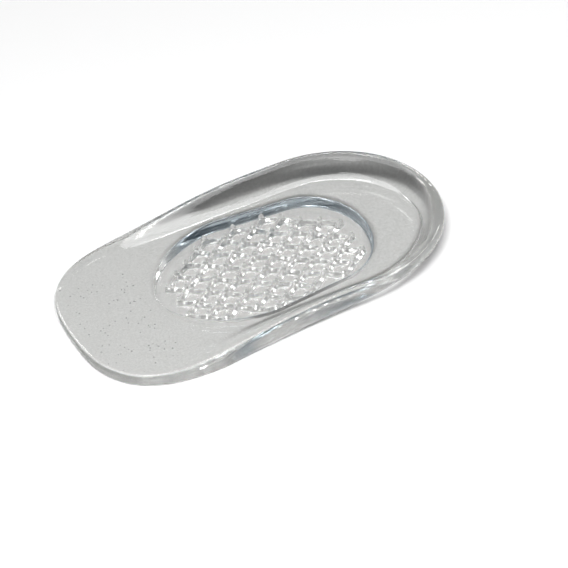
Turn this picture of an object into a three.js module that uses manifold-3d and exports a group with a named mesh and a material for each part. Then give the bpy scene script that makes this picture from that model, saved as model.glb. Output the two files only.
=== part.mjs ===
// A heel cup of clear soft gel, moulded in one piece, that lies in a shoe under the heel.
// Millimetres, +Z up. X runs from the thin front edge (-X) to the heel (+X), Y across the foot.
// The origin is on the ground, under the middle of the cup's box.

import * as THREE from "three";
import { mergeVertices } from "three/addons/utils/BufferGeometryUtils.js";
import Module from "manifold-3d";

// Overall size, measured over the rim
const cupLength = 108;
const cupWidth = 63.4;
const rimHeight = 8.9;

// Sole: flat underside, widest at the front half, with a rounded lower edge.
// Its top is the cup's floor, level at the heel and thinner towards the front edge.
// Its last two sizes are shares of the cup's length, counted from the heel.
const soleThickness = 4.5;
const soleFrontThickness = 3;
const soleFrontWidth = 63.1;
const soleHeelWidth = 55.2;
const soleEdgeRadius = 0.8;
const soleHeelRun = 43.5;
const soleFrontRun = 30.5;
const soleFrontPower = 2.72;
const soleFullUntil = 0.5;
const soleThinFrom = 0.97;

// Wall: stands round the heel, leans out over the sole and sinks to nothing towards the front.
// The last three are shares of the cup's length, counted from the heel.
const heelOverhang = 4.4;
const lipThickness = 2.6;
const wallFootWidth = 8.2;
const wallFrontFootWidth = 2.6;
const wallBulge = 1.7;
const wallFullUntil = 0.39;
const wallGoneFrom = 0.84;
const wallFootWideUntil = 0.72;

// Recess in the floor, a little wider towards the front; its depth is measured at the heel
const recessFromHeel = 21.4;
const recessLength = 60.7;
const recessHeelWidth = 39.1;
const recessFrontWidth = 43.2;
const recessHeelRun = 15.3;
const recessFrontRun = 25.6;
const recessFrontPower = 1.88;
const recessDepth = 3;
const recessEdgeRadius = 0.5;
const recessFootRadius = 0.5;
const floorOverlap = 3;

// Net of low ribs on the recess floor, with a pin on each crossing
const netPitchAlong = 8.6;
const netPitchAcross = 6.93;
const netMargin = 0.4;
const netHeight = 1.2;
const ribWidth = 1.2;
const cellPower = 1.25;
const cellDraft = 0.25;
const pinHeight = 2.4;
const pinBaseDiameter = 1.5;
const pinTipDiameter = 0.9;
const rootDepth = 0.4;

// Fineness of the faceted surfaces
const heelSteps = 13;
const sideSteps = 6;
const frontSteps = 10;
const outerWallSteps = 3;
const lipSteps = 3;
const innerWallSteps = 6;
const floorSteps = 3;
const edgeSteps = 2;
const cellSteps = 2;
const pinSteps = 2;

// An outline is egg-shaped: a heel end, two straight sides and a front end.
// Its sizes are kept in one record, so that an outline can be made smaller all round.
function outlineSizes(heelX, frontX, heelWidth, frontWidth, heelRun, frontRun, frontPower) {
  return {
    heelX,
    frontX,
    heelHalf: heelWidth / 2,
    frontHalf: frontWidth / 2,
    heelRun,
    frontRun,
    frontPower,
  };
}

function insetSizes(sizes, inset) {
  return {
    heelX: sizes.heelX - inset,
    frontX: sizes.frontX + inset,
    heelHalf: sizes.heelHalf - inset,
    frontHalf: sizes.frontHalf - inset,
    heelRun: sizes.heelRun - inset,
    frontRun: sizes.frontRun - inset,
    frontPower: sizes.frontPower,
  };
}

// A point on a quarter of a superellipse, from its tip (turn 0) to its side (turn 1)
function quarterPoint(run, half, power, turn) {
  const angle = (turn * Math.PI) / 2;
  const along = run * Math.pow(Math.cos(angle), 2 / power);
  const across = half * Math.pow(Math.sin(angle), 2 / power);
  return new THREE.Vector2(along, across);
}

// One side of an outline, from the heel tip to the front tip, at +Y
function outlineSide(sizes) {
  const points = [];
  const heelCentre = sizes.heelX - sizes.heelRun;
  const frontCentre = sizes.frontX + sizes.frontRun;
  for (let step = 0; step < heelSteps; step += 1) {
    const tip = quarterPoint(sizes.heelRun, sizes.heelHalf, 2, step / heelSteps);
    points.push(new THREE.Vector2(heelCentre + tip.x, tip.y));
  }
  for (let step = 0; step < sideSteps; step += 1) {
    const share = step / sideSteps;
    const across = THREE.MathUtils.lerp(sizes.heelHalf, sizes.frontHalf, share);
    points.push(new THREE.Vector2(THREE.MathUtils.lerp(heelCentre, frontCentre, share), across));
  }
  for (let step = frontSteps; step >= 0; step -= 1) {
    const tip = quarterPoint(sizes.frontRun, sizes.frontHalf, sizes.frontPower, step / frontSteps);
    points.push(new THREE.Vector2(frontCentre - tip.x, tip.y));
  }
  points[0].y = 0;
  points[points.length - 1].y = 0;
  return points;
}

// The whole outline, anticlockwise seen from above, starting at the heel tip
function outline(sizes) {
  const side = outlineSide(sizes);
  const otherSide = side.slice(1, -1).reverse();
  return [...side, ...otherSide.map((point) => new THREE.Vector2(point.x, -point.y))];
}

// A closed skin through rings of points, from the lowest ring round to the last one.
// Each end is closed by a fan round the middle of its ring.
function skinOfRings(rings) {
  const count = rings[0].length;
  const positions = [];
  const triangles = [];
  const pushPoint = (point) => positions.push(point.x, point.y, point.z);
  rings.forEach((ring) => ring.forEach(pushPoint));
  for (let row = 0; row + 1 < rings.length; row += 1) {
    for (let step = 0; step < count; step += 1) {
      const next = (step + 1) % count;
      const low = row * count + step;
      const lowNext = row * count + next;
      const high = low + count;
      const highNext = lowNext + count;
      triangles.push(low, lowNext, highNext, low, highNext, high);
    }
  }
  const closeEnd = (ring, firstIndex, facesUp) => {
    const middle = new THREE.Vector3();
    ring.forEach((point) => middle.addScaledVector(point, 1 / count));
    const middleIndex = positions.length / 3;
    pushPoint(middle);
    for (let step = 0; step < count; step += 1) {
      const here = firstIndex + step;
      const next = firstIndex + ((step + 1) % count);
      triangles.push(middleIndex, facesUp ? here : next, facesUp ? next : here);
    }
  };
  closeEnd(rings[0], 0, false);
  closeEnd(rings[rings.length - 1], (rings.length - 1) * count, true);
  const geometry = new THREE.BufferGeometry();
  geometry.setAttribute("position", new THREE.Float32BufferAttribute(positions, 3));
  geometry.setIndex(triangles);
  return geometry;
}

// A ring over a plan, with its height given along the cup
function ringOver(plan, heightAt) {
  return plan.map((point) => new THREE.Vector3(point.x, point.y, heightAt(point.x)));
}

function flatRing(plan, height) {
  return ringOver(plan, () => height);
}

// A plan between two others that have the same steps
function planBetween(from, to, shareAt) {
  return from.map((point, index) => point.clone().lerp(to[index], shareAt(point.x)));
}

// A rounded foot between a level face and an upright one, in shares of its radius
const roundedFoot = [];
for (let step = 0; step <= edgeSteps; step += 1) {
  const angle = ((step / edgeSteps) * Math.PI) / 2;
  roundedFoot.push({ inset: 1 - Math.sin(angle), rise: 1 - Math.cos(angle) });
}

const wasm = await Module();
wasm.setup();

function solidOf(geometry) {
  const plain = geometry.clone();
  plain.deleteAttribute("normal");
  plain.deleteAttribute("uv");
  const merged = mergeVertices(plain, 1e-5);
  const vertProperties = new Float32Array(merged.getAttribute("position").array);
  const triVerts = new Uint32Array(merged.getIndex().array);
  return new wasm.Manifold(new wasm.Mesh({ numProp: 3, vertProperties, triVerts }));
}

function geometryOf(solid) {
  const mesh = solid.getMesh();
  const geometry = new THREE.BufferGeometry();
  geometry.setAttribute("position", new THREE.Float32BufferAttribute(mesh.vertProperties, 3));
  geometry.setIndex([...mesh.triVerts]);
  geometry.computeVertexNormals();
  return geometry;
}

// The rim, the sole under it and the foot of the wall inside it, as outlines that share their steps
const heelX = cupLength / 2;
const frontX = -cupLength / 2;
const rimRun = cupWidth / 2;
const rimSizes = outlineSizes(
  heelX, frontX, cupWidth, soleFrontWidth, rimRun, soleFrontRun, soleFrontPower);
const soleSizes = outlineSizes(
  heelX - heelOverhang, frontX, soleHeelWidth, soleFrontWidth, soleHeelRun, soleFrontRun, soleFrontPower);

// The recess's level floor and its outline
const recessFloor = soleThickness - recessDepth;
const recessHeelX = heelX - recessFromHeel;
const recessSizes = outlineSizes(
  recessHeelX, recessHeelX - recessLength, recessHeelWidth, recessFrontWidth,
  recessHeelRun, recessFrontRun, recessFrontPower);

// Grows from 0 to 1 between two places along the cup, given as shares of its length from the heel
function growth(x, fromShare, toShare) {
  return THREE.MathUtils.smoothstep((heelX - x) / cupLength, fromShare, toShare);
}

function floorTop(x) {
  return THREE.MathUtils.lerp(soleThickness, soleFrontThickness, growth(x, soleFullUntil, soleThinFrom));
}

function rimTop(x) {
  return floorTop(x) + (rimHeight - soleThickness) * (1 - growth(x, wallFullUntil, wallGoneFrom));
}

// The body without its recess: sole, outer wall, rounded lip, inner wall and floor.
// The floor's rings run on a little inside the recess, where they are cut away.
function bodyGeometry() {
  const lipRadius = lipThickness / 2;
  const sole = outline(soleSizes);
  const rim = outline(rimSizes);
  const crest = outline(insetSizes(rimSizes, lipRadius));
  const foot = planBetween(
    outline(insetSizes(rimSizes, wallFootWidth)), outline(insetSizes(rimSizes, wallFrontFootWidth)),
    (x) => growth(x, wallFootWideUntil, 1));
  const cutAway = outline(insetSizes(recessSizes, floorOverlap));
  const rings = roundedFoot.map((row) => flatRing(
    outline(insetSizes(soleSizes, row.inset * soleEdgeRadius)), row.rise * soleEdgeRadius));
  for (let step = 1; step <= outerWallSteps; step += 1) {
    const share = step / outerWallSteps;
    const plan = planBetween(sole, rim, () => 1 - Math.pow(1 - share, wallBulge));
    rings.push(ringOver(plan, (x) => THREE.MathUtils.lerp(soleEdgeRadius, rimTop(x) - lipRadius, share)));
  }
  for (let step = 1; step <= lipSteps; step += 1) {
    const angle = ((step / lipSteps) * Math.PI) / 2;
    const plan = outline(insetSizes(rimSizes, lipRadius * (1 - Math.cos(angle))));
    rings.push(ringOver(plan, (x) => rimTop(x) - lipRadius * (1 - Math.sin(angle))));
  }
  for (let step = 1; step <= innerWallSteps; step += 1) {
    const share = step / innerWallSteps;
    const fall = 0.5 + 0.5 * Math.cos(share * Math.PI);
    const plan = planBetween(crest, foot, () => share);
    rings.push(ringOver(plan, (x) => THREE.MathUtils.lerp(floorTop(x), rimTop(x), fall)));
  }
  for (let step = 1; step <= floorSteps; step += 1) {
    rings.push(ringOver(planBetween(foot, cutAway, () => step / floorSteps), floorTop));
  }
  return skinOfRings(rings);
}

// The recess, as the solid that is cut out of the floor
function recessGeometry() {
  const footRows = roundedFoot.map((row) => ({
    inset: row.inset * recessFootRadius,
    heightAt: () => recessFloor + row.rise * recessFootRadius,
  }));
  const edgeRows = roundedFoot.map((row) => ({
    inset: -row.rise * recessEdgeRadius,
    heightAt: (x) => floorTop(x) - row.inset * recessEdgeRadius,
  }));
  const above = { inset: -recessEdgeRadius, heightAt: () => rimHeight };
  const rows = [...footRows, ...edgeRows, above];
  return skinOfRings(rows.map((row) => ringOver(outline(insetSizes(recessSizes, row.inset)), row.heightAt)));
}

// The net's cells lie in rows along the cup, each row shifted by half a cell
const cellHalfAlong = netPitchAlong / 2;
const cellHalfAcross = netPitchAcross / 2;

function insideOutline(sizes, x, y) {
  const fromHeel = (x - (sizes.heelX - sizes.heelRun)) / sizes.heelRun;
  const fromFront = (sizes.frontX + sizes.frontRun - x) / sizes.frontRun;
  const middleShare = THREE.MathUtils.clamp(
    (sizes.heelX - sizes.heelRun - x) / (sizes.heelX - sizes.heelRun - sizes.frontX - sizes.frontRun), 0, 1);
  const half = THREE.MathUtils.lerp(sizes.heelHalf, sizes.frontHalf, middleShare);
  const across = Math.abs(y) / half;
  if (fromHeel > 0) return fromHeel ** 2 + across ** 2 < 1;
  if (fromFront > 0) return fromFront ** sizes.frontPower + across ** sizes.frontPower < 1;
  return across < 1;
}

function cellCorners(centre) {
  return [
    new THREE.Vector2(centre.x + cellHalfAlong, centre.y),
    new THREE.Vector2(centre.x, centre.y + cellHalfAcross),
    new THREE.Vector2(centre.x - cellHalfAlong, centre.y),
    new THREE.Vector2(centre.x, centre.y - cellHalfAcross),
  ];
}

// Every cell whose four corners, with their pins, lie inside the recess and its clear margin.
// Rows lie half a step off the middle line, so that the ribs cross on both sides of it.
function cellCentres() {
  const limit = insetSizes(recessSizes, netMargin + pinBaseDiameter / 2);
  const middleX = recessHeelX - recessLength / 2;
  const columns = Math.ceil(recessLength / netPitchAlong);
  const rows = Math.ceil(recessHeelWidth / netPitchAcross);
  const centres = [];
  for (let row = -rows; row < rows; row += 1) {
    const shift = row % 2 === 0 ? 0 : cellHalfAlong;
    for (let column = -columns; column <= columns; column += 1) {
      const x = middleX + column * netPitchAlong + shift;
      const centre = new THREE.Vector2(x, (row + 0.5) * cellHalfAcross);
      if (cellCorners(centre).every((corner) => insideOutline(limit, corner.x, corner.y))) {
        centres.push(centre);
      }
    }
  }
  return centres;
}

// A cell's shape in plan: a diamond with bowed sides (power 1 gives straight ones)
function cellPlan(centre, halfAlong, halfAcross, power, steps) {
  const points = [];
  for (let step = 0; step < 4 * steps; step += 1) {
    const angle = (step / (2 * steps)) * Math.PI;
    const cos = Math.cos(angle);
    const sin = Math.sin(angle);
    const along = halfAlong * Math.sign(cos) * Math.pow(Math.abs(cos), 2 / power);
    const across = halfAcross * Math.sign(sin) * Math.pow(Math.abs(sin), 2 / power);
    points.push(new THREE.Vector2(centre.x + along, centre.y + across));
  }
  return points;
}

function prism(plans, heights) {
  return solidOf(skinOfRings(plans.map((plan, index) => flatRing(plan, heights[index]))));
}

// A rib's half width, measured along each diagonal of its cell
const cellSideLength = Math.hypot(cellHalfAlong, cellHalfAcross);
const ribAlong = ((ribWidth / 2) * cellSideLength) / cellHalfAcross;
const ribAcross = ((ribWidth / 2) * cellSideLength) / cellHalfAlong;

function netSolid(centres) {
  const bottom = recessFloor - rootDepth;
  const top = recessFloor + netHeight;
  const outer = centres.map((centre) => {
    const plan = cellPlan(centre, cellHalfAlong + ribAlong, cellHalfAcross + ribAcross, 1, 1);
    return prism([plan, plan], [bottom, top]);
  });
  const pockets = centres.map((centre) => {
    const plan = (extra) => cellPlan(
      centre, cellHalfAlong - ribAlong + extra, cellHalfAcross - ribAcross + extra, cellPower, cellSteps);
    return prism([plan(-cellDraft), plan(cellDraft)], [bottom - rootDepth, top + rootDepth]);
  });
  const slab = outer.reduce((joined, piece) => joined.add(piece));
  return pockets.reduce((rest, pocket) => rest.subtract(pocket), slab);
}

// A pin: a blunt cone
function pinSolid(corner) {
  const base = cellPlan(corner, pinBaseDiameter / 2, pinBaseDiameter / 2, 2, pinSteps);
  const tip = cellPlan(corner, pinTipDiameter / 2, pinTipDiameter / 2, 2, pinSteps);
  return prism([base, tip], [recessFloor - rootDepth, recessFloor + pinHeight]);
}

// Neighbouring cells share their corners, so each place is kept once
function crossings(centres) {
  const found = new Map();
  centres.flatMap(cellCorners).forEach((corner) => {
    found.set(`${corner.x.toFixed(2)} ${corner.y.toFixed(2)}`, corner);
  });
  return [...found.values()];
}

function cupSolid() {
  const centres = cellCentres();
  const hollowed = solidOf(bodyGeometry()).subtract(solidOf(recessGeometry()));
  const withNet = hollowed.add(netSolid(centres));
  return crossings(centres).reduce((cup, corner) => cup.add(pinSolid(corner)), withNet);
}

const clearGel = new THREE.MeshStandardMaterial({
  color: 0xe6e8e6,
  roughness: 0.12,
  metalness: 0,
  transparent: true,
  opacity: 0.35,
});

const heelCup = new THREE.Mesh(geometryOf(cupSolid()), clearGel);
heelCup.name = "heel_cup";

const part = new THREE.Group();
part.add(heelCup);

export default part;
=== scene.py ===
# Dresses the heel cup for its picture: a finely shaped clear gel cup on a plain pale floor.
# +Z up. X runs from the thin front edge (-X) to the heel (+X), Y across the foot. The cup's own sizes are
# in millimetres, what stands round it is in metres.

import math
from collections import namedtuple

import bmesh
import bpy
import numpy as np
from mathutils import Matrix, Vector


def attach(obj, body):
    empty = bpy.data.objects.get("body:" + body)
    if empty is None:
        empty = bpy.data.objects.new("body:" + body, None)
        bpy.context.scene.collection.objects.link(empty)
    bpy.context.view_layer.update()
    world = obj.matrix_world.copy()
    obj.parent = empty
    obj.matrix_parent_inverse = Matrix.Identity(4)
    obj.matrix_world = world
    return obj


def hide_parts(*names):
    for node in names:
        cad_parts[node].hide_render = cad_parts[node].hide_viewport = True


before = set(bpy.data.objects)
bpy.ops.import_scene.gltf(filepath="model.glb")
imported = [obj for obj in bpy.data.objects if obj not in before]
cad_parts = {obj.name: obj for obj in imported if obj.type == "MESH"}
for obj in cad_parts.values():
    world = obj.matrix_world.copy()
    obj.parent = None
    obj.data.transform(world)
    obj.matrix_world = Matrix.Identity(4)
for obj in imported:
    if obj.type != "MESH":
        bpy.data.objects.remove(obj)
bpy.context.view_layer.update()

MM = 0.001

# Camera: its direction from the cup, its turn about the view line, and where the cup lies in the picture
PICTURE_SIDE = 568
CAMERA_AZIMUTH = math.radians(-19.6)
CAMERA_ELEVATION = math.radians(37.9)
CAMERA_ROLL = math.radians(-8.46)
CAMERA_DISTANCE = 1.072
CAMERA_TARGET = Vector((0, 0, 0.005))
TARGET_PIXEL = (253.6, 260.0)
FOCAL_PIXELS = 4000
SENSOR_WIDTH = 36

# Overall size, sole and wall; places along the cup are shares of its length, counted from the heel
CUP_LENGTH = 108
CUP_WIDTH = 63.4
RIM_HEIGHT = 8.9
SOLE_THICKNESS = 4.5
SOLE_FRONT_THICKNESS = 3
SOLE_FRONT_WIDTH = 63.1
SOLE_HEEL_WIDTH = 55.2
SOLE_EDGE_RADIUS = 0.8
SOLE_HEEL_RUN = 43.5
SOLE_FRONT_RUN = 30.5
SOLE_FRONT_POWER = 2.72
SOLE_FULL_UNTIL = 0.5
SOLE_THIN_FROM = 0.97
HEEL_OVERHANG = 4.4
LIP_THICKNESS = 2.6
WALL_FOOT_WIDTH = 8.2
WALL_FRONT_FOOT_WIDTH = 2.6
WALL_BULGE = 1.7
WALL_FULL_UNTIL = 0.39
WALL_GONE_FROM = 0.84
WALL_FOOT_WIDE_UNTIL = 0.72

# Recess in the floor
RECESS_FROM_HEEL = 21.4
RECESS_LENGTH = 60.7
RECESS_HEEL_WIDTH = 39.1
RECESS_FRONT_WIDTH = 43.2
RECESS_HEEL_RUN = 15.3
RECESS_FRONT_RUN = 25.6
RECESS_FRONT_POWER = 1.88
RECESS_DEPTH = 3
RECESS_EDGE_RADIUS = 0.5
RECESS_FOOT_RADIUS = 0.5

# Net of ribs and its pins; the shifts are shares of the pitches, from the recess's middle to a pin
NET_PITCH_ALONG = 8.6
NET_PITCH_ACROSS = 6.93
NET_SHIFT_ALONG = 0.5
NET_SHIFT_ACROSS = 0.25
NET_MARGIN = 1.15
NET_HEIGHT = 1.2
RIB_FOOT_WIDTH = 2.2
CELL_POWER = 1.4
PIN_HEIGHT = 2.4
PIN_FOOT_RADIUS = 0.85
NET_BEND = 0.22
NET_BEND_LENGTH = 9

# How many net steps from the middle the cells are looked for, which is more than the recess holds
NET_REACH = 16

# Fineness of the gel's mesh
HEEL_STEPS = 150
SIDE_STEPS = 60
FRONT_STEPS = 120
ACROSS_STEPS = 184
EDGE_STEPS = 4
OUTER_WALL_STEPS = 8
LIP_STEPS = 8
INNER_WALL_STEPS = 14
FLOOR_STEPS = 4
FLAT_SUPPORT = 0.3

# Air bubbles near the front: their radii, and the box that their middles lie in
BUBBLE_COUNT = 100
BUBBLE_SMALLEST = 0.08
BUBBLE_LARGEST = 0.24
BUBBLE_BOX = ((-50, -31), (-24, 20), (0.6, 2.4))
BUBBLE_FINENESS = 2
BUBBLE_SEED = 7

# Floor of the studio, just under the cup
FLOOR_SIDE = 3.0
FLOOR_GAP = 0.0001
FLOOR_COLOUR = (0.93, 0.93, 0.93, 1)
FLOOR_ROUGHNESS = 0.9

# Light runs a long way inside clear gel, from wall to wall
LIGHT_BOUNCES = 40

# How much lamp light the gel lets through to the floor: on its way in by how squarely it meets the
# surface, on its way out by the place, as a belt round the outer wall keeps most of it back. The belt's
# place on the outer wall is in shares of the wall's height, and it starts lower towards the front
IN_STOPS_BELOW = 0.32
IN_PASSES_ABOVE = 0.7
LIGHT_IN_STEEP = 0.2
LIGHT_SQUARE = 0.93
RECESS_WALL_LIGHT = 0.3
BELT_LIGHT = 0.04
BELT_FROM = 0.38
BELT_FRONT_FROM = 0.1
BELT_TO = 0.88
BELT_BLUR = 0.06

# The gel's colour, from grain to grain, and a painted shade on the recess's steep wall: darker and bluer,
# standing for the long light paths there and the dark surroundings it reflects. That wall is clear again
# towards the front
GEL_COLOUR_DARK = (0.5, 0.505, 0.49, 1)
GEL_COLOUR_LIGHT = (0.83, 0.835, 0.825, 1)
# Painted shade on the recess's wall, and where along the cup it fades out
RECESS_WALL_SHADE_COLOUR = (0.22, 0.28, 0.33, 1)
RECESS_SHADE_FULL_UNTIL = 0.62
RECESS_SHADE_GONE_FROM = 0.72
TINT_COLOUR = (0.55, 0.56, 0.53, 1)
TINT_DENSITY = 5
GEL_IOR = 1.42

# The gel's surface: fine grain all over, and long streaks that follow the wall
GRAIN_SIZE = 0.6
GRAIN_HEIGHT = 0.012
GRAIN_DETAIL = 2
STREAK_LENGTH = 16
STREAK_WIDTH = 0.45
STREAK_HEIGHT = 0.05
STREAK_DETAIL = 3
ROUGHNESS_LEAST = 0.015
ROUGHNESS_MOST = 0.06

# Studio: a pale sky with a dark blue ceiling that shows in the gel only, a key and a fill lamp that
# light the floor, a softbox for highlights, and small lamps that glint in the net
SKY_STRENGTH = 0.6
SKY_COLOUR = (1, 1, 1, 1)
CEILING_COLOUR = (0.1, 0.14, 0.18, 1)
CEILING_FROM = 0.8
CEILING_FULL = 0.92
LAMP_DISTANCE = 1.1
KEY_DIRECTION = Vector((-0.216, -0.606, 0.766))
KEY_SIZE = (0.5, 0.15)
KEY_POWER = 17.5
FILL_DIRECTION = Vector((0, 0, 1))
FILL_SIZE = (1.5, 1.5)
FILL_POWER = 2.5
SOFTBOX_DIRECTION = Vector((0, 0.22, 0.97))
SOFTBOX_SIZE = (1.3, 1.15)
SOFTBOX_POWER = 27
GLINT_DIRECTIONS = (
    Vector((0.22, 0.6, 0.77)),
    Vector((0.6, 0.45, 0.65)),
    Vector((-0.25, 0.7, 0.67)),
    Vector((0.45, 0.75, 0.5)),
    Vector((0, 0.45, 0.89)),
)
GLINT_SIZE = (0.12, 0.12)
GLINT_POWER = 0.8


def between(start, end, share):
    return start + (end - start) * share


def smooth_share(value, low, high):
    share = np.clip((value - low) / (high - low), 0, 1)
    return share * share * (3 - 2 * share)


# An outline has a half ellipse round the heel, straight sides, and a half round front whose power sets
# how blunt it is
Outline = namedtuple("Outline", "heel_x front_x heel_half front_half heel_run front_run front_power")


def inset(outline, margin):
    return outline._replace(
        heel_x=outline.heel_x - margin,
        front_x=outline.front_x + margin,
        heel_half=outline.heel_half - margin,
        front_half=outline.front_half - margin,
        heel_run=outline.heel_run - margin,
        front_run=outline.front_run - margin)


HEEL_X = CUP_LENGTH / 2
FRONT_X = -CUP_LENGTH / 2
LIP_RADIUS = LIP_THICKNESS / 2
RIM = Outline(
    heel_x=HEEL_X,
    front_x=FRONT_X,
    heel_half=CUP_WIDTH / 2,
    front_half=SOLE_FRONT_WIDTH / 2,
    heel_run=CUP_WIDTH / 2,
    front_run=SOLE_FRONT_RUN,
    front_power=SOLE_FRONT_POWER)
SOLE = Outline(
    heel_x=HEEL_X - HEEL_OVERHANG,
    front_x=FRONT_X,
    heel_half=SOLE_HEEL_WIDTH / 2,
    front_half=SOLE_FRONT_WIDTH / 2,
    heel_run=SOLE_HEEL_RUN,
    front_run=SOLE_FRONT_RUN,
    front_power=SOLE_FRONT_POWER)
RECESS = Outline(
    heel_x=HEEL_X - RECESS_FROM_HEEL,
    front_x=HEEL_X - RECESS_FROM_HEEL - RECESS_LENGTH,
    heel_half=RECESS_HEEL_WIDTH / 2,
    front_half=RECESS_FRONT_WIDTH / 2,
    heel_run=RECESS_HEEL_RUN,
    front_run=RECESS_FRONT_RUN,
    front_power=RECESS_FRONT_POWER)
RECESS_MIDDLE_X = (RECESS.heel_x + RECESS.front_x) / 2
RECESS_FLOOR = SOLE_THICKNESS - RECESS_DEPTH
RIB_SPACING = NET_PITCH_ALONG * NET_PITCH_ACROSS / math.hypot(NET_PITCH_ALONG, NET_PITCH_ACROSS)


def round_end(run, half, power, turns):
    angles = turns * math.pi / 2
    return run * np.cos(angles) ** (2 / power), half * np.sin(angles) ** (2 / power)


# One side of an outline from the heel tip to the front tip, as stations along and half widths across
def outline_side(outline):
    heel_centre = outline.heel_x - outline.heel_run
    front_centre = outline.front_x + outline.front_run
    heel_turns = np.arange(HEEL_STEPS) / HEEL_STEPS
    heel_along, heel_across = round_end(outline.heel_run, outline.heel_half, 2, heel_turns)
    side_shares = np.arange(SIDE_STEPS) / SIDE_STEPS
    side_along = between(heel_centre, front_centre, side_shares)
    side_across = between(outline.heel_half, outline.front_half, side_shares)
    front_turns = np.arange(FRONT_STEPS, -1, -1) / FRONT_STEPS
    front_along, front_across = round_end(
        outline.front_run, outline.front_half, outline.front_power, front_turns)
    along = np.concatenate([heel_centre + heel_along, side_along, front_centre - front_along])
    across = np.concatenate([heel_across, side_across, front_across])
    across[0] = 0
    across[-1] = 0
    return along, across


# The whole outline, anticlockwise seen from above, starting at the heel tip
def plan_of(outline):
    along, across = outline_side(outline)
    x = np.concatenate([along, along[-2:0:-1]])
    y = np.concatenate([across, -across[-2:0:-1]])
    return np.column_stack([x, y])


# Grows from 0 to 1 between two places along the cup
def growth(x, from_share, to_share):
    return smooth_share((HEEL_X - x) / CUP_LENGTH, from_share, to_share)


def floor_top(x):
    return between(SOLE_THICKNESS, SOLE_FRONT_THICKNESS, growth(x, SOLE_FULL_UNTIL, SOLE_THIN_FROM))


def rim_top(x):
    wall_height = RIM_HEIGHT - SOLE_THICKNESS
    return floor_top(x) + wall_height * (1 - growth(x, WALL_FULL_UNTIL, WALL_GONE_FROM))


# A ring of the gel's skin. Each point has its place, then how far it belongs to the belt round the outer
# wall, and how far it takes the painted shade on the recess's wall
def ring(plan, height, belt=0, painted_shade=0):
    columns = [np.broadcast_to(value, len(plan)) for value in (height, belt, painted_shade)]
    return np.column_stack([plan, *columns])


def quarter_turn(steps):
    return np.linspace(0, math.pi / 2, steps + 1)


# Shares of the way from one outline to the next, without the start, where a ring lies already
def shares_after(steps):
    return np.linspace(0, 1, steps + 1)[1:]


# The rim of the flat underside, and the sole's rounded edge
def sole_rings():
    rings = [ring(plan_of(inset(SOLE, SOLE_EDGE_RADIUS + FLAT_SUPPORT)), 0)]
    for angle in quarter_turn(EDGE_STEPS):
        plan = plan_of(inset(SOLE, (1 - math.sin(angle)) * SOLE_EDGE_RADIUS))
        rings.append(ring(plan, (1 - math.cos(angle)) * SOLE_EDGE_RADIUS))
    return rings


def outer_wall_rings():
    sole = plan_of(SOLE)
    rim = plan_of(RIM)
    rings = []
    for share in shares_after(OUTER_WALL_STEPS):
        plan = between(sole, rim, 1 - (1 - share) ** WALL_BULGE)
        x = plan[:, 0]
        belt_from = between(BELT_FROM, BELT_FRONT_FROM, growth(x, WALL_FULL_UNTIL, WALL_GONE_FROM))
        above = smooth_share(share, belt_from - BELT_BLUR, belt_from + BELT_BLUR)
        below = 1 - smooth_share(share, BELT_TO - BELT_BLUR, BELT_TO + BELT_BLUR)
        height = between(SOLE_EDGE_RADIUS, rim_top(x) - LIP_RADIUS, share)
        rings.append(ring(plan, height, belt=above * below))
    return rings


def lip_rings():
    rings = []
    for angle in quarter_turn(LIP_STEPS)[1:]:
        plan = plan_of(inset(RIM, LIP_RADIUS * (1 - math.cos(angle))))
        rings.append(ring(plan, rim_top(plan[:, 0]) - LIP_RADIUS * (1 - math.sin(angle))))
    return rings


# Where the wall's inner side meets the floor
def wall_foot():
    wide = plan_of(inset(RIM, WALL_FOOT_WIDTH))
    narrow = plan_of(inset(RIM, WALL_FRONT_FOOT_WIDTH))
    return between(wide, narrow, growth(wide[:, :1], WALL_FOOT_WIDE_UNTIL, 1))


def inner_wall_rings():
    crest = plan_of(inset(RIM, LIP_RADIUS))
    foot = wall_foot()
    rings = []
    for share in shares_after(INNER_WALL_STEPS):
        plan = between(crest, foot, share)
        fall = 0.5 + 0.5 * math.cos(share * math.pi)
        rings.append(ring(plan, between(floor_top(plan[:, 0]), rim_top(plan[:, 0]), fall)))
    return rings


def floor_rings():
    foot = wall_foot()
    recess_edge = plan_of(inset(RECESS, -RECESS_EDGE_RADIUS - FLAT_SUPPORT))
    plans = [between(foot, recess_edge, share) for share in shares_after(FLOOR_STEPS)]
    return [ring(plan, floor_top(plan[:, 0])) for plan in plans]


# A ring of the recess's wall, with painted shade that fades out towards the front
def shaded_recess_ring(plan, height):
    clear = growth(plan[:, 0], RECESS_SHADE_FULL_UNTIL, RECESS_SHADE_GONE_FROM)
    return ring(plan, height, painted_shade=1 - clear)


# The recess's rounded edge, its steep wall and its rounded foot, then the rim of its floor without painted
# shade
def recess_rings():
    rings = []
    for angle in quarter_turn(EDGE_STEPS):
        plan = plan_of(inset(RECESS, (math.sin(angle) - 1) * RECESS_EDGE_RADIUS))
        drop = (1 - math.cos(angle)) * RECESS_EDGE_RADIUS
        rings.append(shaded_recess_ring(plan, floor_top(plan[:, 0]) - drop))
    for angle in quarter_turn(EDGE_STEPS)[:-1]:
        plan = plan_of(inset(RECESS, (1 - math.cos(angle)) * RECESS_FOOT_RADIUS))
        rings.append(shaded_recess_ring(plan, RECESS_FLOOR + (1 - math.sin(angle)) * RECESS_FOOT_RADIUS))
    rings.append(ring(plan_of(inset(RECESS, RECESS_FOOT_RADIUS)), RECESS_FLOOR))
    return rings


def inside_recess(x, y, margin):
    outline = inset(RECESS, margin)
    heel_centre = outline.heel_x - outline.heel_run
    front_centre = outline.front_x + outline.front_run
    share = np.clip((heel_centre - x) / (heel_centre - front_centre), 0, 1)
    across = np.abs(y) / between(outline.heel_half, outline.front_half, share)
    if x > heel_centre:
        return ((x - heel_centre) / outline.heel_run) ** 2 + across**2 < 1
    if x < front_centre:
        power = outline.front_power
        return ((front_centre - x) / outline.front_run) ** power + across**power < 1
    return across < 1


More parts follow.
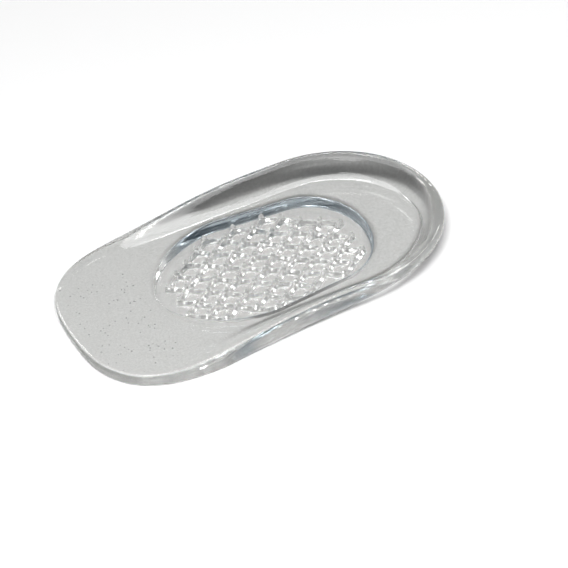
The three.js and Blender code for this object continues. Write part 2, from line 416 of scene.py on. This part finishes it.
# In net steps the ribs lie along whole numbers of both steps, and a cell is a unit square
def net_steps(x, y):
    along = (x - RECESS_MIDDLE_X) / NET_PITCH_ALONG + NET_SHIFT_ALONG
    across = y / NET_PITCH_ACROSS - NET_SHIFT_ACROSS
    return along + across, along - across


def net_place(first, second):
    along = (first + second) / 2 - NET_SHIFT_ALONG
    across = (first - second) / 2 + NET_SHIFT_ACROSS
    return RECESS_MIDDLE_X + along * NET_PITCH_ALONG, across * NET_PITCH_ACROSS


# A cell belongs to the net when all four of its corners lie in the recess, clear of its wall
def net_cells():
    count = 2 * NET_REACH
    cells = np.zeros((count, count), dtype=bool)
    for first in range(1, count - 1):
        for second in range(1, count - 1):
            corners = [
                net_place(first + a - NET_REACH, second + b - NET_REACH) for a in (0, 1) for b in (0, 1)]
            cells[first, second] = all(inside_recess(x, y, NET_MARGIN) for x, y in corners)
    return cells


def cell_at(cells, first, second):
    return cells[first.astype(int) + NET_REACH, second.astype(int) + NET_REACH]


# Ribs along whole numbers of the first step, from 0 beside a rib to 1 on its crest
def straight_ribs(cells, first, second):
    line = np.round(first)
    place = np.floor(second)
    present = cell_at(cells, line, place) | cell_at(cells, line - 1, place)
    away = np.abs(first - line) * RIB_SPACING / (RIB_FOOT_WIDTH / 2)
    return np.where(present & (away < 1), np.cos(np.clip(away, 0, 1) * math.pi / 2) ** 2, 0)


# Ribs round a cell with rounded corners, from 0 in the cell's middle to 1 on the crest
def rounded_ribs(first, second):
    in_first = first - np.floor(first)
    in_second = second - np.floor(second)
    along = np.abs(in_first + in_second - 1)
    across = np.abs(in_first - in_second)
    outward = 2 * ((along**CELL_POWER + across**CELL_POWER) / 2) ** (1 / CELL_POWER)
    return smooth_share(outward, 1 - RIB_FOOT_WIDTH / RIB_SPACING, 1)


# Height of the pins, one on each corner of each cell
def pins(cells, x, y):
    first, second = (np.round(step) for step in net_steps(x, y))
    present = cell_at(cells, first, second) | cell_at(cells, first - 1, second)
    present |= cell_at(cells, first, second - 1) | cell_at(cells, first - 1, second - 1)
    pin_x, pin_y = net_place(first, second)
    away = np.clip(np.hypot(x - pin_x, y - pin_y) / PIN_FOOT_RADIUS, 0, 1)
    return np.where(present, PIN_HEIGHT * np.sqrt(1 - away**2), 0)


# Height of the net over the recess's floor. Its lines wave a little, as soft gel does. Inside the net the
# ribs have rounded corners, on its outer side they are straight
def net_height(x, y):
    wave = 2 * math.pi / NET_BEND_LENGTH
    x, y = x + NET_BEND * np.sin(wave * y), y + NET_BEND * np.sin(wave * x)
    cells = net_cells()
    first, second = net_steps(x, y)
    straight = 1 - (1 - straight_ribs(cells, first, second)) * (1 - straight_ribs(cells.T, second, first))
    in_cell = cell_at(cells, np.floor(first), np.floor(second))
    ribs = NET_HEIGHT * np.where(in_cell, rounded_ribs(first, second), straight)
    return np.maximum(ribs, pins(cells, x, y))


# Faces with four corners, from a grid of point numbers
def grid_faces(grid):
    corners = [grid[:-1, :-1], grid[:-1, 1:], grid[1:, 1:], grid[1:, :-1]]
    return np.stack(corners, axis=-1).reshape(-1, 4).tolist()


# The floor of the recess, inside the last ring: a grid with the net's height, and a fan at each tip
def recess_floor(last_ring, first_free):
    stations, halves = outline_side(inset(RECESS, RECESS_FOOT_RADIUS))
    across = np.linspace(-1, 1, ACROSS_STEPS + 1)[1:-1]
    x = np.repeat(stations[1:-1], len(across))
    y = np.outer(halves[1:-1], across).ravel()
    points = ring(np.column_stack([x, y]), RECESS_FLOOR + net_height(x, y))

    front_tip = len(stations) - 1
    inner = first_free + np.arange(len(points)).reshape(-1, len(across))
    grid = np.column_stack([last_ring[:front_tip:-1], inner, last_ring[1:front_tip]])
    heel_row = grid[0].tolist()
    front_row = grid[-1].tolist()
    faces = grid_faces(grid)
    faces.extend((int(last_ring[0]), high, low) for low, high in zip(heel_row, heel_row[1:]))
    faces.extend((low, high, int(last_ring[front_tip])) for low, high in zip(front_row, front_row[1:]))
    return points, faces


# Closed pockets of air in the gel; their faces look into the air, as all faces of the gel do
def bubbles(first_free):
    ball = bmesh.new()
    bmesh.ops.create_icosphere(ball, subdivisions=BUBBLE_FINENESS, radius=1)
    ball_points = np.array([vertex.co[:] for vertex in ball.verts])
    ball_faces = np.array([[vertex.index for vertex in reversed(face.verts)] for face in ball.faces])
    ball.free()
    dice = np.random.default_rng(BUBBLE_SEED)
    points = []
    faces = []
    for number in range(BUBBLE_COUNT):
        middle = [dice.uniform(*span) for span in BUBBLE_BOX]
        places = ball_points * dice.uniform(BUBBLE_SMALLEST, BUBBLE_LARGEST) + middle
        points.append(ring(places[:, :2], places[:, 2]))
        faces.extend((ball_faces + first_free + number * len(ball_points)).tolist())
    return np.concatenate(points), faces


# The gel's skin: a stack of rings, closed below by a fan and above by the recess's floor, and the bubbles
def gel_mesh():
    rings = np.concatenate([
        sole_rings(), outer_wall_rings(), lip_rings(), inner_wall_rings(), floor_rings(), recess_rings()])
    row_count, ring_length = rings.shape[:2]
    numbers = np.arange(row_count * ring_length).reshape(row_count, ring_length)
    closed = np.column_stack([numbers, numbers[:, 0]])
    underside = closed[0].tolist()
    underside_middle = numbers.size
    faces = grid_faces(closed)
    faces.extend((underside_middle, after, before) for before, after in zip(underside, underside[1:]))

    floor_points, floor_faces = recess_floor(numbers[-1], underside_middle + 1)
    bubble_points, bubble_faces = bubbles(underside_middle + 1 + len(floor_points))
    points = np.concatenate([*rings, ring(np.zeros((1, 2)), 0), floor_points, bubble_points])
    belt, recess_wall_shade = points[:, 3:].T
    mesh = bpy.data.meshes.new("gel_cup")
    mesh.from_pydata((points[:, :3] * MM).tolist(), [], [*faces, *floor_faces, *bubble_faces])
    mesh.shade_smooth()
    # The belt, and the painted shade of the recess's wall, are kept on the points
    for name, values in (("belt", belt), ("recess_wall_shade", recess_wall_shade)):
        mesh.attributes.new(name, "FLOAT", "POINT").data.foreach_set("value", values.tolist())
    return mesh


def add_object(name, mesh):
    added = bpy.data.objects.new(name, mesh)
    bpy.context.scene.collection.objects.link(added)
    return added


class Nodes:
    """Adds nodes to a tree: an input takes a value or another node's output, and add returns the outputs."""

    def __init__(self, tree):
        self.tree = tree
        tree.nodes.clear()

    def add(self, kind, inputs=None, **settings):
        node = self.tree.nodes.new(f"ShaderNode{kind}")
        for name, value in settings.items():
            setattr(node, name, value)
        for name, value in (inputs or {}).items():
            if isinstance(value, bpy.types.NodeSocket):
                self.tree.links.new(value, node.inputs[name])
            else:
                node.inputs[name].default_value = value
        return node.outputs


# Faintly grained, with painted shade on the recess's wall, darker and bluer
def gel_colour(nodes, grain, recess_wall_shade):
    plain = nodes.add(
        "Mix", {"Factor": grain, "A": GEL_COLOUR_DARK, "B": GEL_COLOUR_LIGHT}, data_type="RGBA")
    painted_shade = nodes.add(
        "Mix", {"Factor": recess_wall_shade, "A": plain["Result"], "B": RECESS_WALL_SHADE_COLOUR}, data_type="RGBA")
    return painted_shade["Result"]


# Bumps of the grain under those of the streaks
def gel_bumps(nodes, grain, streaks):
    grained = nodes.add("Bump", {"Height": grain, "Distance": GRAIN_HEIGHT * MM})
    streaked = nodes.add(
        "Bump", {"Height": streaks, "Distance": STREAK_HEIGHT * MM, "Normal": grained["Normal"]})
    return streaked["Normal"]


# Share of the lamp light that the gel's skin lets through. The light is followed from the floor up to the
# lamp, so it meets the skin from behind where it comes in, and from the front where it goes out
def light_let_through(nodes, recess_wall_shade):
    surface = nodes.add("NewGeometry")
    facing = nodes.add("VectorMath", {0: surface["Normal"], 1: KEY_DIRECTION}, operation="DOT_PRODUCT")
    squareness = nodes.add("Math", {0: facing["Value"]}, operation="ABSOLUTE")
    way_in = nodes.add(
        "MapRange",
        {
            "Value": squareness["Value"],
            "From Min": IN_STOPS_BELOW,
            "From Max": IN_PASSES_ABOVE,
            "To Min": LIGHT_IN_STEEP,
            "To Max": LIGHT_SQUARE,
        },
        interpolation_type="SMOOTHSTEP")
    belt = nodes.add("Attribute", attribute_name="belt")
    way_out = nodes.add("MapRange", {"Value": belt["Fac"], "To Min": LIGHT_SQUARE, "To Max": BELT_LIGHT})
    skin = nodes.add(
        "Mix",
        {"Factor": surface["Backfacing"], "A": way_out["Result"], "B": way_in["Result"]},
        data_type="FLOAT")
    recess = nodes.add("MapRange", {"Value": recess_wall_shade, "To Min": 1, "To Max": RECESS_WALL_LIGHT})
    return nodes.add("Math", {0: skin["Result"], 1: recess["Result"]}, operation="MULTIPLY")["Value"]


# Clear gel that is faintly grey where it is thick. The streaks run long along the wall and short up it
def gel_material():
    material = bpy.data.materials.new("clear_gel")
    material.use_nodes = True
    nodes = Nodes(material.node_tree)
    place = nodes.add("TexCoord")["Object"]
    grain = nodes.add("TexNoise", {"Vector": place, "Scale": 1 / (GRAIN_SIZE * MM), "Detail": GRAIN_DETAIL})
    along = 1 / (STREAK_LENGTH * MM)
    stretched = nodes.add("Mapping", {"Vector": place, "Scale": (along, along, 1 / (STREAK_WIDTH * MM))})
    streaks = nodes.add("TexNoise", {"Vector": stretched["Vector"], "Scale": 1, "Detail": STREAK_DETAIL})
    roughness = nodes.add(
        "MapRange", {"Value": streaks["Fac"], "To Min": ROUGHNESS_LEAST, "To Max": ROUGHNESS_MOST})
    # Where painted shade lies on the recess's wall, which also holds lamp light back
    recess_wall_shade = nodes.add("Attribute", attribute_name="recess_wall_shade")["Fac"]
    gel = nodes.add("BsdfPrincipled", {
        "Base Color": gel_colour(nodes, grain["Fac"], recess_wall_shade),
        "Normal": gel_bumps(nodes, grain["Fac"], streaks["Fac"]),
        "Roughness": roughness["Result"],
        "Transmission Weight": 1,
        "IOR": GEL_IOR,
    })
    lamp_light = nodes.add("BsdfTransparent", {"Color": light_let_through(nodes, recess_wall_shade)})
    lights_floor = nodes.add("LightPath")["Is Shadow Ray"]
    seen_or_lit = nodes.add("MixShader", {0: lights_floor, 1: gel["BSDF"], 2: lamp_light["BSDF"]})
    tint = nodes.add("VolumeAbsorption", {"Color": TINT_COLOUR, "Density": TINT_DENSITY})
    nodes.add("OutputMaterial", {"Surface": seen_or_lit["Shader"], "Volume": tint["Volume"]})
    return material


def floor_material():
    material = bpy.data.materials.new("pale_floor")
    material.use_nodes = True
    nodes = Nodes(material.node_tree)
    paint = nodes.add("BsdfPrincipled", {"Base Color": FLOOR_COLOUR, "Roughness": FLOOR_ROUGHNESS})
    nodes.add("OutputMaterial", {"Surface": paint["BSDF"]})
    return material


def add_floor():
    half = FLOOR_SIDE / 2
    mesh = bpy.data.meshes.new("floor")
    corners = [(half * x, half * y, -FLOOR_GAP) for x, y in ((-1, -1), (1, -1), (1, 1), (-1, 1))]
    mesh.from_pydata(corners, [], [(0, 1, 2, 3)])
    mesh.materials.append(floor_material())
    floor = add_object("floor", mesh)


def add_cup():
    mesh = gel_mesh()
    mesh.materials.append(gel_material())
    cup = add_object("gel_cup", mesh)
    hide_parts("heel_cup")
    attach(cup, "root")


# The sky doesn't light the floor, and its ceiling darkens with the height of the view into it
def add_world():
    world = bpy.data.worlds.new("studio")
    bpy.context.scene.world = world
    world.cycles_visibility.diffuse = False
    world.use_nodes = True
    nodes = Nodes(world.node_tree)
    direction = nodes.add("SeparateXYZ", {"Vector": nodes.add("TexCoord")["Generated"]})
    ceiling = nodes.add(
        "MapRange",
        {"Value": direction["Z"], "From Min": CEILING_FROM, "From Max": CEILING_FULL},
        interpolation_type="SMOOTHSTEP")
    colour = nodes.add(
        "Mix", {"Factor": ceiling["Result"], "A": SKY_COLOUR, "B": CEILING_COLOUR}, data_type="RGBA")
    light = nodes.add("Background", {"Color": colour["Result"], "Strength": SKY_STRENGTH})
    nodes.add("OutputWorld", {"Surface": light["Background"]})


# A lamp lights the floor or shows as a highlight, and then also through the gel if it is to be seen there
def add_lamp(name, direction, size, power, lights_floor=False, seen_through=False):
    data = bpy.data.lights.new(name, "AREA")
    data.shape = "RECTANGLE"
    data.size, data.size_y = size
    data.energy = power
    lamp = bpy.data.objects.new(name, data)
    towards = direction.normalized()
    aim = (-towards).to_track_quat("-Z", "Y")
    lamp.matrix_world = Matrix.Translation(towards * LAMP_DISTANCE) @ aim.to_matrix().to_4x4()
    lamp.visible_diffuse = lights_floor
    lamp.visible_glossy = not lights_floor
    lamp.visible_transmission = seen_through
    bpy.context.scene.collection.objects.link(lamp)


def add_lamps():
    add_lamp("key_light", KEY_DIRECTION, KEY_SIZE, KEY_POWER, lights_floor=True)
    add_lamp("fill_light", FILL_DIRECTION, FILL_SIZE, FILL_POWER, lights_floor=True)
    add_lamp("softbox", SOFTBOX_DIRECTION, SOFTBOX_SIZE, SOFTBOX_POWER)
    for number, direction in enumerate(GLINT_DIRECTIONS):
        add_lamp(f"glint_light_{number}", direction, GLINT_SIZE, GLINT_POWER, seen_through=True)


def add_camera():
    back = Vector((
        math.sin(CAMERA_AZIMUTH) * math.cos(CAMERA_ELEVATION),
        -math.cos(CAMERA_AZIMUTH) * math.cos(CAMERA_ELEVATION),
        math.sin(CAMERA_ELEVATION)))
    level = Vector((0, 0, 1)).cross(back).normalized()
    upright = back.cross(level)
    right = level * math.cos(CAMERA_ROLL) + upright * math.sin(CAMERA_ROLL)
    up = upright * math.cos(CAMERA_ROLL) - level * math.sin(CAMERA_ROLL)
    data = bpy.data.cameras.new("camera")
    data.sensor_width = SENSOR_WIDTH
    data.lens = SENSOR_WIDTH * FOCAL_PIXELS / PICTURE_SIDE
    data.shift_x = (PICTURE_SIDE / 2 - TARGET_PIXEL[0]) / PICTURE_SIDE
    data.shift_y = (TARGET_PIXEL[1] - PICTURE_SIDE / 2) / PICTURE_SIDE
    camera = bpy.data.objects.new("camera", data)
    turn = Matrix((right, up, back)).transposed().to_4x4()
    camera.matrix_world = Matrix.Translation(CAMERA_TARGET + back * CAMERA_DISTANCE) @ turn
    bpy.context.scene.collection.objects.link(camera)
    bpy.context.scene.camera = camera


def let_light_run():
    light_paths = bpy.context.scene.cycles
    light_paths.max_bounces = LIGHT_BOUNCES
    light_paths.glossy_bounces = LIGHT_BOUNCES
    light_paths.transmission_bounces = LIGHT_BOUNCES
    light_paths.caustics_refractive = False
    light_paths.caustics_reflective = False


add_camera()
bpy.context.scene.view_settings.view_transform = "Standard"
let_light_run()
add_world()
add_lamps()
add_floor()
add_cup()
